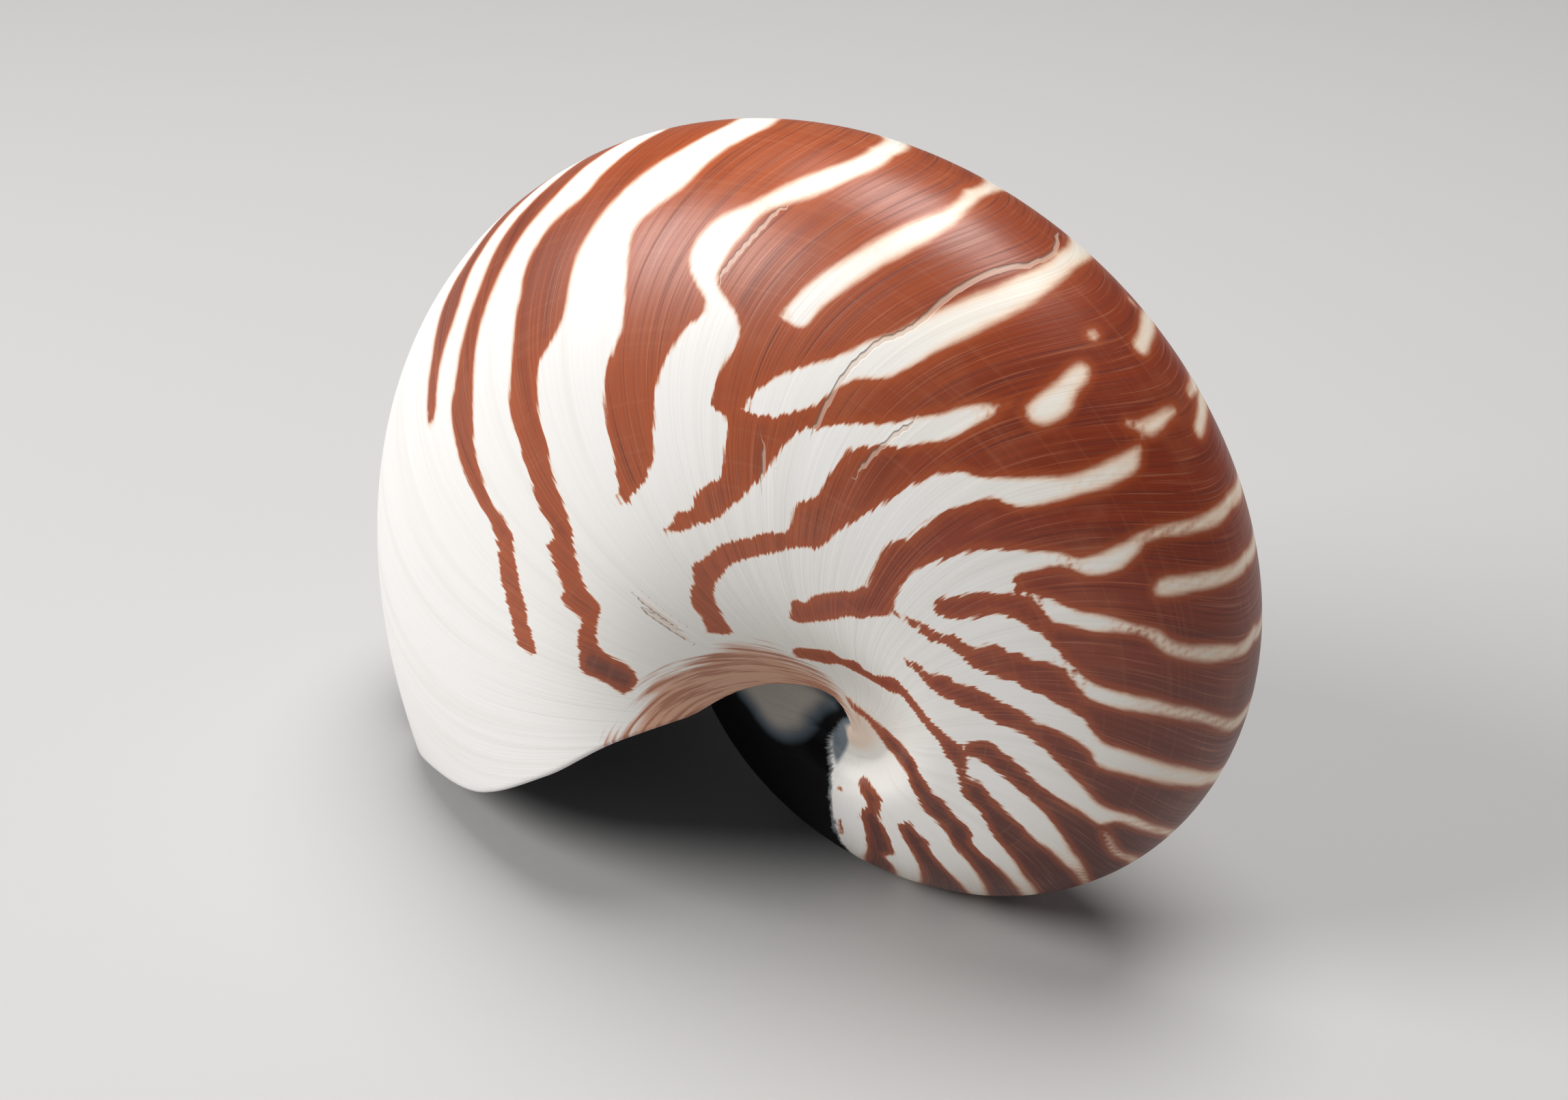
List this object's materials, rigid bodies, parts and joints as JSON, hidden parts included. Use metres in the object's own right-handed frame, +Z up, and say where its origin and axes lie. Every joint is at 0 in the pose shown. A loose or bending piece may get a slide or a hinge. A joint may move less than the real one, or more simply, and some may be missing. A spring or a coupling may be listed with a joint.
{
  "type": "nautilus shell",
  "caption": "Coiled nautilus shell standing on its lip and keel: white porcelain-like surface with red-brown flame stripes, closed umbilicus and an open body chamber.",
  "frame": {"origin": "centre of the base of the bounding box, on the surface that the shell stands on", "axes": "+Z up, +X away from the mouth in the plane of the coil, +Y across the shell along the coil's axis"},
  "size_m": [0.1534, 0.0798, 0.1183],
  "materials": {
    "shell": "glossy porcelain-like aragonite with red-brown stripes"
  },
  "bodies": {
    "root": {"shell": "shell"}
  },
  "joints": []
}
